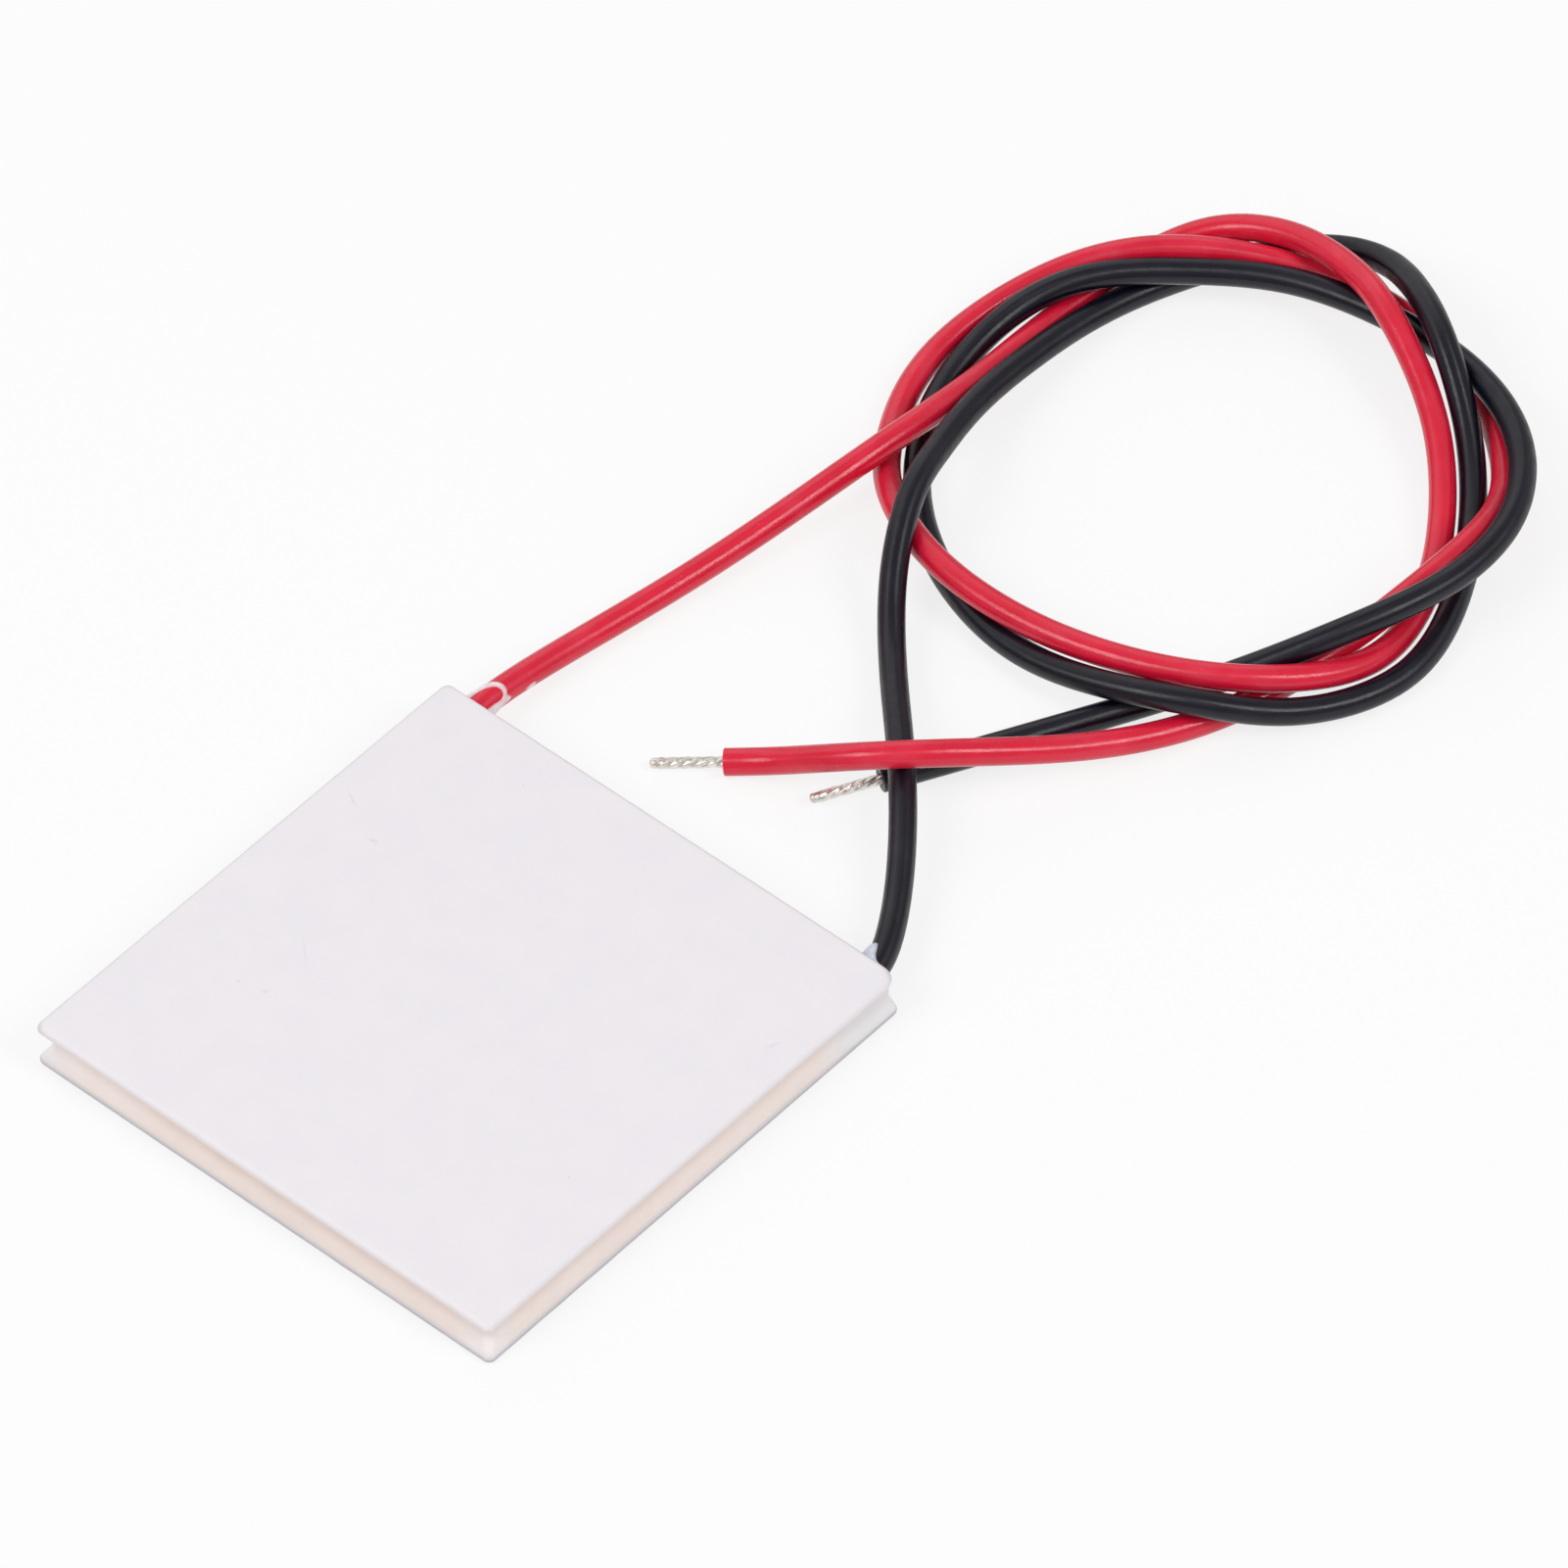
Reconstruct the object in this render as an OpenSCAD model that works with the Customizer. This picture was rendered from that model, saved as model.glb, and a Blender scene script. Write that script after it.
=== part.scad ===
// Thermoelectric generator module. Two ceramic plates hold a square array of semiconductor legs,
// wired in one series chain by copper tabs. Silicone seals the edge, and two leads come out of it.
// Millimetres. +Z is up, and the origin is the middle of the lower plate's outer face.

/* [Ceramic plates] */
// Side of each square plate
plate_w = 40; // [34:1:50]
// Thickness of each plate
plate_t = 0.8; // [0.5:0.05:1.5]
// Radius of the plates' corners
corner_r = 0.2; // [0.1:0.1:1.2]
// Radius of the upper plate's worn corner, beside the black lead
worn_corner_r = 1.2; // [0.3:0.1:1.5]
// Width of the slope that eases the plates' edges
edge_ease = 0.2; // [0.1:0.05:0.2]

/* [Semiconductor legs] */
// Legs along each side of the array, an even number
legs_per_side = 16; // [8:2:18]
// Side of each square leg
leg_w = 1.4; // [0.8:0.05:1.7]
// Height of each leg
leg_h = 1.4; // [1.3:0.05:3]

/* [Copper tabs and solder] */
// Width of each tab
tab_w = 1.8; // [1.7:0.05:2.1]
// Thickness of each tab
tab_t = 0.3; // [0.25:0.05:0.6]
// Thickness of the solder film between a tab and its legs
solder_t = 0.1; // [0.05:0.01:0.2]
// Bare copper left round the solder film
solder_inset = 0.1; // [0.05:0.05:0.15]

/* [Edge seal] */
// Depth of the groove between the seal and the plates' edges
seal_recess = 0.5; // [0.3:0.1:1]
// Width of the seal
seal_w = 0.7; // [0.4:0.1:1]
// Radius of the seal's outer corners
seal_corner_r = 1; // [0.5:0.1:1.5]
// Space between the seal and the nearest tabs
seal_margin = 0.1; // [0.05:0.05:0.5]
// Depth of the groove at the corner that silicone fills, beside the black lead
fill_recess = 0.15; // [0.1:0.05:0.3]
// Reach of that filling past the middle of the black lead
fill_reach = 1.6; // [1.2:0.1:3]
// Radius of that filling's corners
fill_r = 1.2; // [0.5:0.1:1.5]

/* [Leads] */
// Outside diameter of a lead's insulation
lead_d = 1.9; // [1.2:0.05:2]
// Diameter of a lead's stranded core
core_d = 0.75; // [0.5:0.05:1.1]
// Distance from the middle of its terminal tab out to the red lead
red_lead_shift = 0.2; // [0:0.05:0.25]
// Distance from the middle of its terminal tab in to the black lead
black_lead_shift = 0.3; // [0:0.05:0.35]
// Room round a lead where it passes straight through the silicone
lead_clear = 0.03; // [0.02:0.01:0.1]
// Room round the black lead where it starts to bend at its exit
bend_clear = 0.12; // [0.1:0.01:0.15]
// Thickness of the silicone beside a lead at its exit
cradle_t = 0.2; // [0.1:0.05:0.4]
// Reach of the red lead's silicone past the plates' edge
red_cradle_len = 1.2; // [0.5:0.1:1.5]
// Reach of the black lead's silicone past the plates' edge
black_cradle_len = 0.25; // [0.1:0.05:0.3]
// Straight run of the red lead past the plates' edge
red_exit_run = 3; // [2:0.5:4]
// Straight run of the black lead past the plates' edge
black_exit_run = 1.5; // [1:0.5:3]
// Length of each tinned end
tinned_len = 5; // [3:0.5:10]
// Length over which a tinned end's strands make one turn
strand_lay = 5; // [4:0.5:12]

/* [Hidden] */

$fn = 64;
// Extra depth of a cut past the face that it opens
cut_over = 0.1;
// Rings of a lead are eight-sided, which is enough for so thin a tube
lead_sides = 8;
// A tinned end is one strand with others round it, which the tin swells into one piece
outer_strands = 6;
strands_across = 3;
tin_swell = 1.15;
strand_sides = 8;
strand_slices = 12;

// Heights of the stack, from the floor up
gap_h = 2 * (tab_t + solder_t) + leg_h;
lower_tab_z = plate_t;
lower_solder_z = lower_tab_z + tab_t;
leg_z = lower_solder_z + solder_t;
upper_solder_z = leg_z + leg_h;
upper_tab_z = upper_solder_z + solder_t;
upper_plate_z = upper_tab_z + tab_t;
lead_z = plate_t + gap_h / 2;

// Places seen from above
seal_out = plate_w / 2 - seal_recess;
seal_in = seal_out - seal_w;
fill_out = plate_w / 2 - fill_recess;
last_leg = legs_per_side - 1;
array_edge = seal_in - seal_margin - tab_w / 2;
leg_pitch = 2 * array_edge / last_leg;
red_x = -array_edge - red_lead_shift;
black_x = array_edge - black_lead_shift;

function leg_at(spot) = [for (i = spot) i * leg_pitch - array_edge];

// The current goes down one column and up the next. The two corners beside the leads hold no leg.
red_spot = [0, last_leg];
black_spot = [last_leg, last_leg];
chain = [
    for (column = [0 : last_leg])
        for (step = [0 : last_leg])
            let (spot = [column, column % 2 == 0 ? last_leg - step : step])
                if (spot != red_spot && spot != black_spot) spot
];
last_link = len(chain) - 1;

// Places measured from the plates' edge, and up from the floor to a lead's underside
function from_edge(points) = [for (p = points) p + [0, plate_w / 2, lead_d / 2]];

// A lead comes straight out of the seal, and then lies along points of its own
function straight_exit(x, run) = [[x, seal_in, lead_z], [x, plate_w / 2 + run, lead_z]];

red_route = concat(straight_exit(red_x, red_exit_run), from_edge([
    [-17.5, 10, 0], [-15.4, 21, 0], [-12.8, 31.7, 2.3], [-11.7, 37.9, 3], [-12.5, 45, 0.7],
    [-13, 53, 0], [-12.4, 60.5, 0], [-9.9, 66.2, 1.3], [-4, 68.3, 2.8], [2.1, 67.5, 3.6], [6.5, 65.5, 4.6],
    [14.5, 62, 1.5], [21.1, 54, 0], [24, 47.5, 0], [24.9, 41.3, 1], [20.5, 34.3, 2.9], [13.4, 30.8, 2.5],
    [5.2, 29, 2.2], [-3, 29.3, 2.3], [-9.5, 32.4, 1.5], [-13.5, 36.5, 0], [-16.8, 42.8, 0],
    [-17.3, 49.8, 0], [-14.6, 56.9, 1.6], [-10, 61.5, 2.9], [-4.4, 66.4, 1.4], [2.5, 69.5, 0],
    [11.5, 68.5, 0], [21.3, 61.7, 0.3], [24.1, 53.9, 3.4], [23.4, 46.2, 2.7], [21.3, 40, 0],
    [19.5, 32, 0], [15.5, 24.5, 0.9], [10.9, 16.6, 4], [5.9, 11.5, 4.3], [0.2, 10.8, 0.3], [-2.9, 8.4, 0]
]));
black_route = concat(straight_exit(black_x, black_exit_run), from_edge([
    [13.8, 7.3, 1.3], [9, 13, 2.3], [4.5, 17.5, 1.7], [-0.5, 22.5, 0], [-4.5, 27, 2.4],
    [-7, 32, 4.8], [-8.5, 36, 3.5], [-10.5, 42, 2.3], [-11, 49, 1.3], [-10.9, 58.2, 0], [-5, 69.8, 0],
    [0.7, 72, 0.7], [6, 69.1, 3.5], [11.2, 65.6, 5.3], [16, 63, 0.9], [20.5, 58, 0], [24.1, 52.6, 0],
    [27.7, 43.9, 0], [23.7, 35.6, 0.4], [19.5, 30.7, 3.2], [12.4, 28.3, 1.9], [4, 27.9, 0], [-6, 31.5, 0],
    [-12.1, 37.9, 0], [-15, 44.5, 0], [-15, 51.5, 1.3], [-12.3, 56.3, 2.7], [-7.9, 60.9, 2.1],
    [-2, 65.5, 2], [5.5, 67, 1.9], [13.1, 66.9, 2.2], [20.5, 63.5, 3], [25.4, 56.9, 3.7], [25.9, 49.4, 3.9],
    [23.5, 41.9, 4.2], [18, 35.6, 0.5], [12.5, 26, 0], [6, 14, 0]
]));

// Square with rounded corners, one of them with its own radius
module rounded_square(w, r, first_r) {
    difference() {
        square(w, center = true);
        for (turn = [0 : 3]) {
            cut_r = turn == 0 ? first_r : r;
            rotate(90 * turn)
                translate([w / 2 - cut_r, w / 2 - cut_r])
                    difference() {
                        square(cut_r + cut_over);
                        circle(cut_r);
                    }
        }
    }
}

module plate(first_r) {
    ease_w = edge_ease * sqrt(2);
    difference() {
        linear_extrude(plate_t)
            rounded_square(plate_w, corner_r, first_r);
        for (turn = [0 : 3])
            for (edge_z = [0, plate_t])
                rotate(90 * turn)
                    translate([plate_w / 2, 0, edge_z])
                        rotate([0, 45, 0])
                            cube([ease_w, plate_w + 2 * cut_over, ease_w], center = true);
    }
}

// Block that covers two neighbouring leg spots, less an inset all round
module tab_block(from, to, height, inset = 0) {
    half = (tab_w / 2 - inset) * [1, 1];
    low = [min(from.x, to.x), min(from.y, to.y)] - half;
    high = [max(from.x, to.x), max(from.y, to.y)] + half;
    translate(low)
        cube([high.x - low.x, high.y - low.y, height]);
}

// Tabs that join each pair of links in the chain, starting with the given link
module tab_row(first, height, inset = 0) {
    for (link = [first : 2 : last_link - 1])
        tab_block(leg_at(chain[link]), leg_at(chain[link + 1]), height, inset);
}

// Tab that joins an empty corner to an end of the chain
module terminal_tab(corner, link) {
    translate([0, 0, lower_tab_z])
        tab_block(leg_at(corner), leg_at(chain[link]), tab_t);
}

// Every second leg of the chain
module leg_set(first) {
    for (link = [first : 2 : last_link])
        translate(concat(leg_at(chain[link]) - leg_w / 2 * [1, 1], leg_z))
            cube([leg_w, leg_w, leg_h]);
}

// Cylinder along +Y at a lead's height
module along_y(x, d, from, to) {
    translate([x, from, lead_z])
        rotate([-90, 0, 0])
            cylinder(d = d, h = to - from);
}

// Stripped core that lies over the corner spot, where no leg stands
module lead_core(x) {
    along_y(x, core_d, array_edge - leg_w / 2, seal_in);
}

// Solder that rises from the terminal tab round the lower half of the core
module lead_joint(x) {
    joint_w = core_d + 2 * solder_t;
    difference() {
        translate([x - joint_w / 2, array_edge - leg_w / 2, lower_solder_z])
            cube([joint_w, leg_w, lead_z - lower_solder_z]);
        lead_core(x);
    }
}

// Silicone under and beside a lead from a face of the seal outwards, open above the lead's middle
module exit_cradle(x, from, reach, clear) {
    end_y = plate_w / 2 + reach;
    bore_d = lead_d + 2 * clear;
    outer_d = bore_d + 2 * cradle_t;
    difference() {
        along_y(x, outer_d, from, end_y);
        along_y(x, bore_d, from - cut_over, end_y + cut_over);
        translate([x - outer_d, from - cut_over, lead_z])
            cube([2 * outer_d, end_y - from + 2 * cut_over, outer_d]);
        translate([x - outer_d, from - cut_over, plate_t - outer_d])
            cube([2 * outer_d, plate_w / 2 - from + cut_over, outer_d]);
    }
}

function unit(v) = v / norm(v);

// Place on the smooth curve that the points pull on, a share u along the stretch after point i
function curve_at(points, i, u) =
    let (last = len(points) - 1)
    let (before = i > 0 ? points[i - 1] : 2 * points[0] - points[1])
    let (after = i + 2 <= last ? points[i + 2] : 2 * points[last] - points[last - 1])
    (
        pow(1 - u, 3) * before
        + (3 * pow(u, 3) - 6 * pow(u, 2) + 4) * points[i]
        + (3 * u + 3 * pow(u, 2) - 3 * pow(u, 3) + 1) * points[i + 1]
        + pow(u, 3) * after
    ) / 6;

// Middles of a lead's rings: one at each point of its route and one halfway to the next
function ring_middles(points) = concat(
    [for (i = [0 : len(points) - 2]) for (u = [0, 0.5]) curve_at(points, i, u)],
    [points[len(points) - 1]]
);

function ring_points(middle, heading) =
    let (side = unit(cross([0, 0, 1], heading)))
    let (up = cross(heading, side))
    [
        for (k = [0 : lead_sides - 1])
            let (turn = 360 * k / lead_sides)
                middle + lead_d / 2 * (cos(turn) * side + sin(turn) * up)
    ];

function end_heading(points) = unit(points[len(points) - 1] - points[len(points) - 2]);

module lead_tube(points) {
    middles = ring_middles(points);
    last = len(middles) - 1;
    rings = [
        for (i = [0 : last])
            let (heading = i == 0 ? points[1] - points[0]
                : i == last ? end_heading(points)
                : middles[i + 1] - middles[i - 1])
                each ring_points(middles[i], unit(heading))
    ];
    sides = [
        for (i = [0 : last - 1])
            for (k = [0 : lead_sides - 1])
                let (next = (k + 1) % lead_sides)
                let (here = i * lead_sides)
                    [here + k, here + next, here + lead_sides + next, here + lead_sides + k]
    ];
    start_cap = [for (k = [lead_sides - 1 : -1 : 0]) k];
    end_cap = [for (k = [0 : lead_sides - 1]) last * lead_sides + k];
    polyhedron(points = rings, faces = concat([start_cap], sides, [end_cap]));
}

// Twisted strands that run on from the end of a lead
module tinned_strands(points) {
    heading = end_heading(points);
    strand_d = core_d / strands_across;
    turn = 360 * tinned_len / strand_lay;
    translate(points[len(points) - 1])
        rotate([0, acos(heading.z), atan2(heading.y, heading.x)])
            linear_extrude(tinned_len, twist = turn, slices = strand_slices, $fn = strand_sides)
                union() {
                    circle(d = strand_d * tin_swell);
                    for (k = [1 : outer_strands])
                        rotate(360 * k / outer_strands)
                            translate([strand_d, 0])
                                circle(d = strand_d * tin_swell);
                }
}

module lower_plate() {
    color("whitesmoke")
        plate(corner_r);
}

module upper_plate() {
    color("whitesmoke")
        translate([0, 0, upper_plate_z])
            plate(worn_corner_r);
}

module edge_seal() {
    fill_w = fill_out - (black_x - fill_reach);
    color("linen")
        difference() {
            translate([0, 0, plate_t])
                linear_extrude(gap_h)
                    difference() {
                        union() {
                            rounded_square(2 * seal_out, seal_corner_r, seal_corner_r);
                            translate((fill_out - fill_w / 2) * [1, 1])
                                rounded_square(fill_w, fill_r, fill_r);
                        }
                        square(2 * seal_in, center = true);
                    }
            for (x = [red_x, black_x])
                along_y(x, lead_d + 2 * lead_clear, seal_in - cut_over, plate_w / 2);
        }
}

module lower_tabs() {
    color("peru")
        translate([0, 0, lower_tab_z])
            tab_row(1, tab_t);
}

module upper_tabs() {
    color("peru")
        translate([0, 0, upper_tab_z])
            tab_row(0, tab_t);
}

module red_terminal_tab() {
    color("peru")
        terminal_tab(red_spot, 0);
}

module black_terminal_tab() {
    color("peru")
        terminal_tab(black_spot, last_link);
}

module lower_solder() {
    color("lightslategray")
        translate([0, 0, lower_solder_z]) {
            tab_row(1, solder_t, solder_inset);
            for (link = [0, last_link])
                tab_block(leg_at(chain[link]), leg_at(chain[link]), solder_t, solder_inset);
        }
}

module upper_solder() {
    color("lightslategray")
        translate([0, 0, upper_solder_z])
            tab_row(0, solder_t, solder_inset);
}

module n_type_legs() {
    color("dimgray")
        leg_set(0);
}

module p_type_legs() {
    color("slategray")
        leg_set(1);
}

module red_lead_core() {
    color("silver")
        lead_core(red_x);
}

module black_lead_core() {
    color("silver")
        lead_core(black_x);
}

module red_lead_solder() {
    color("lightslategray")
        lead_joint(red_x);
}

module black_lead_solder() {
    color("lightslategray")
        lead_joint(black_x);
}

module red_exit_seal() {
    color("white")
        exit_cradle(red_x, seal_out, red_cradle_len, lead_clear);
}

module black_exit_seal() {
    color("white")
        exit_cradle(black_x, fill_out, black_cradle_len, bend_clear);
}

module red_lead() {
    color("crimson")
        lead_tube(red_route);
}

module black_lead() {
    color("#2c2c33")
        lead_tube(black_route);
}

module red_tinned_end() {
    color("silver")
        tinned_strands(red_route);
}

module black_tinned_end() {
    color("silver")
        tinned_strands(black_route);
}

lower_plate();
upper_plate();
edge_seal();
lower_tabs();
upper_tabs();
red_terminal_tab();
black_terminal_tab();
lower_solder();
upper_solder();
n_type_legs();
p_type_legs();
red_lead_core();
black_lead_core();
red_lead_solder();
black_lead_solder();
red_exit_seal();
black_exit_seal();
red_lead();
black_lead();
red_tinned_end();
black_tinned_end();
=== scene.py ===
import math
import bmesh
import bpy
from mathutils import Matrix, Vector, noise


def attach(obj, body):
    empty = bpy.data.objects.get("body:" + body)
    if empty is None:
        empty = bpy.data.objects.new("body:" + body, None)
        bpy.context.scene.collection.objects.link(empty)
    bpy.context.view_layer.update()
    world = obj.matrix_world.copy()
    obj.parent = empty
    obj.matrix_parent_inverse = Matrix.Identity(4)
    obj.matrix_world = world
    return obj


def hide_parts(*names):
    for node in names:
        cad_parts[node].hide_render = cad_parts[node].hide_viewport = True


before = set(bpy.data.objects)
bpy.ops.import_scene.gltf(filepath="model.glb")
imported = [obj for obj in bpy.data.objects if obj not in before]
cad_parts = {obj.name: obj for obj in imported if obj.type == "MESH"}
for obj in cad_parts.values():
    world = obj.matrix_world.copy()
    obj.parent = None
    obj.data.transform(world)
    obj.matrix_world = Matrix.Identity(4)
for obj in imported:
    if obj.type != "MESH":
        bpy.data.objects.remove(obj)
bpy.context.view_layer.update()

mm = 0.001
scene = bpy.context.scene
scene.view_settings.view_transform = "Standard"
print("frame loaded:", len(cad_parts), "nodes")


def tone(red, green, blue):
    # a colour as a paint program shows it, 0 to 255, turned into the shader's own scale
    shares = (red / 255, green / 255, blue / 255)
    return tuple(c / 12.92 if c < 0.0404 else ((c + 0.055) / 1.055) ** 2.4 for c in shares)


def smoothStep(low, high, x):
    t = min(1.0, max(0.0, (x - low) / (high - low)))
    return t * t * (3 - 2 * t)


def mixed(first, second, share):
    return first + (second - first) * share


def addPiece(name, points, faces, marks=None):
    # points in mm; marks gives an attribute's name and one number, or one triple, for each point
    mesh = bpy.data.meshes.new(name)
    mesh.from_pydata([Vector(p) * mm for p in points], [], faces)
    mesh.polygons.foreach_set("use_smooth", [True] * len(mesh.polygons))
    for markName, values in (marks or {}).items():
        if isinstance(values[0], tuple):
            mark = mesh.attributes.new(markName, "FLOAT_VECTOR", "POINT")
            mark.data.foreach_set("vector", [v for triple in values for v in triple])
        else:
            mark = mesh.attributes.new(markName, "FLOAT", "POINT")
            mark.data.foreach_set("value", values)
    mesh.update()
    piece = bpy.data.objects.new(name, mesh)
    scene.collection.objects.link(piece)
    return piece


def ringFaces(ringCount, sides):
    # four-sided faces between closed rings that lie one after another
    faces = []
    for i in range(ringCount - 1):
        a, b = i * sides, (i + 1) * sides
        for k in range(sides):
            n = (k + 1) % sides
            faces.append((a + k, a + n, b + n, b + k))
    return faces


def closedFaces(ringCount, sides):
    # the same, with a face over the first ring and one over the last
    last = (ringCount - 1) * sides
    caps = [tuple(reversed(range(sides))), tuple(range(last, last + sides))]
    return ringFaces(ringCount, sides) + caps


def mergeClose(piece, apart=1e-6):
    # points that fell on one another at a tight corner become one
    work = bmesh.new()
    work.from_mesh(piece.data)
    bmesh.ops.remove_doubles(work, verts=work.verts, dist=apart)
    bmesh.ops.dissolve_degenerate(work, edges=work.edges, dist=apart)
    work.to_mesh(piece.data)
    work.free()


def dress(piece, finish):
    piece.data.materials.clear()
    piece.data.materials.append(finish.material)


def ownPiece(piece, slot, *nodes):
    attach(piece, "root")
    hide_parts(*nodes)


class Finish:
    # a material being mixed: each helper adds its nodes and gives back a socket
    def __init__(self, name, color, roughness, **settings):
        self.material = bpy.data.materials.new(name)
        self.material.use_nodes = True
        self.tree = self.material.node_tree
        self.shader = self.tree.nodes["Principled BSDF"]
        self.shader.inputs["Base Color"].default_value = (*color, 1)
        self.shader.inputs["Roughness"].default_value = roughness
        for socket, value in settings.items():
            self.shader.inputs[socket.replace("_", " ")].default_value = value
        self.place = self.tree.nodes.new("ShaderNodeTexCoord").outputs["Object"]

    def join(self, fromSocket, toSocket):
        self.tree.links.new(fromSocket, toSocket)

    def moved(self, scale=(1, 1, 1), place=None):
        node = self.tree.nodes.new("ShaderNodeMapping")
        node.inputs["Scale"].default_value = scale
        self.join(place or self.place, node.inputs["Vector"])
        return node.outputs["Vector"]

    def grain(self, size, detail=3.0, place=None):
        # noise with blotches of about this size, in mm
        node = self.tree.nodes.new("ShaderNodeTexNoise")
        node.inputs["Scale"].default_value = 1 / (size * mm)
        node.inputs["Detail"].default_value = detail
        self.join(place or self.place, node.inputs["Vector"])
        return node.outputs["Fac"]

    def cells(self, size, place=None):
        # distance to the nearest of scattered points, and three random numbers for each point
        node = self.tree.nodes.new("ShaderNodeTexVoronoi")
        node.inputs["Scale"].default_value = 1 / (size * mm)
        self.join(place or self.place, node.inputs["Vector"])
        split = self.tree.nodes.new("ShaderNodeSeparateColor")
        self.join(node.outputs["Color"], split.inputs[0])
        return node.outputs["Distance"], split.outputs

    def spread(self, value, low, high, fromLow=0.3, fromHigh=0.7):
        # maps a value from one range to another
        node = self.tree.nodes.new("ShaderNodeMapRange")
        ends = {"From Min": fromLow, "From Max": fromHigh, "To Min": low, "To Max": high}
        for socket, number in ends.items():
            node.inputs[socket].default_value = number
        self.join(value, node.inputs["Value"])
        return node.outputs["Result"]

    def sums(self, operation, first, second):
        node = self.tree.nodes.new("ShaderNodeMath")
        node.operation = operation
        for i, value in enumerate((first, second)):
            if isinstance(value, (int, float)):
                node.inputs[i].default_value = value
            else:
                self.join(value, node.inputs[i])
        return node.outputs[0]

    def blend(self, share, first, second):
        node = self.tree.nodes.new("ShaderNodeMix")
        node.data_type = "RGBA"
        self.join(share, node.inputs[0])
        for i, value in ((6, first), (7, second)):  # the colour sockets A and B
            if isinstance(value, tuple):
                node.inputs[i].default_value = (*value, 1)
            else:
                self.join(value, node.inputs[i])
        return node.outputs[2]

    def mark(self, name, output="Fac"):
        node = self.tree.nodes.new("ShaderNodeAttribute")
        node.attribute_name = name
        return node.outputs[output]

    def specks(self, size, radius, share, place=None):
        # 1 on small dots, where only this share of the scattered points has one
        distance, chances = self.cells(size, place)
        picked = self.sums("LESS_THAN", chances[0], share)
        dot = self.spread(distance, 1, 0, 0.5 * radius / size, radius / size)
        return self.sums("MULTIPLY", dot, picked)

    def paint(self, color):
        self.join(color, self.shader.inputs["Base Color"])

    def gloss(self, roughness):
        self.join(roughness, self.shader.inputs["Roughness"])

    def relief(self, height, depth):
        # depth in mm between the lowest and the highest point
        node = self.tree.nodes.new("ShaderNodeBump")
        node.inputs["Distance"].default_value = depth * mm
        self.join(height, node.inputs["Height"])
        self.join(node.outputs["Normal"], self.shader.inputs["Normal"])


camera = {
    "place": (501.8, -511.2, 816.8),  # mm
    "turn": (42.07, 1.12, 41.54),     # degrees
    "lens": 381.0, "sensor": 36.0,    # mm
    "clip": (0.1, 20),                # metres
}


def makeCamera():
    data = bpy.data.cameras.new("photoCamera")
    data.lens, data.sensor_width = camera["lens"], camera["sensor"]
    data.clip_start, data.clip_end = camera["clip"]
    eye = bpy.data.objects.new("photoCamera", data)
    eye.location = Vector(camera["place"]) * mm
    eye.rotation_euler = [math.radians(a) for a in camera["turn"]]
    scene.collection.objects.link(eye)
    scene.camera = eye


makeCamera()
print("camera set")


# two silicone-covered wires, which come out of the seal and lie in two loose loops
leads = {
    "diameter": 1.9,    # mm, outside the insulation
    "edgeY": 20.0,      # where the plates end
    "startY": 18.8,     # inner face of the seal, where the insulation starts
    "exitZ": 1.9,       # half way between the plates
    "sides": 28,
    "steps": 12,        # rings from one point of the route to the next
    "endRound": 0.1,    # rounding of the cut end
    "endSteps": 5,      # rings on that rounding
    "coreRadius": 0.36,
    "mouthMore": 0.08,  # how much wider the cut end opens round the core
    "mouthDepth": 0.15,
}
# x, y from the plates' edge, and height of the underside above the floor
redRoute = {
    "exitX": -18.0, "straight": 3.0,
    "points": [
        (-17.5, 10, 0), (-15.4, 21, 0), (-12.8, 31.7, 2.3), (-11.7, 37.9, 3), (-12.5, 45, 0.7),
        (-13, 53, 0), (-12.4, 60.5, 0), (-9.9, 66.2, 1.3), (-4, 68.3, 2.8), (2.1, 67.5, 3.6),
        (6.5, 65.5, 4.6), (14.5, 62, 1.5), (21.1, 54, 0), (24, 47.5, 0), (24.9, 41.3, 1), (20.5, 34.3, 2.9),
        (13.4, 30.8, 2.5), (5.2, 29, 2.2), (-3, 29.3, 2.3), (-9.5, 32.4, 1.5), (-13.5, 36.5, 0),
        (-16.8, 42.8, 0), (-17.3, 49.8, 0), (-14.6, 56.9, 1.6), (-10, 61.5, 2.9), (-4.4, 66.4, 1.4),
        (2.5, 69.5, 0), (11.5, 68.5, 0), (21.3, 61.7, 0.3), (24.1, 53.9, 3.4), (23.4, 46.2, 2.7),
        (21.3, 40, 0), (19.5, 32, 0), (15.5, 24.5, 0.9), (10.9, 16.6, 4), (5.9, 11.5, 4.3),
        (0.2, 10.8, 0.3), (-2.9, 8.4, 0),
    ],
}
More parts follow.
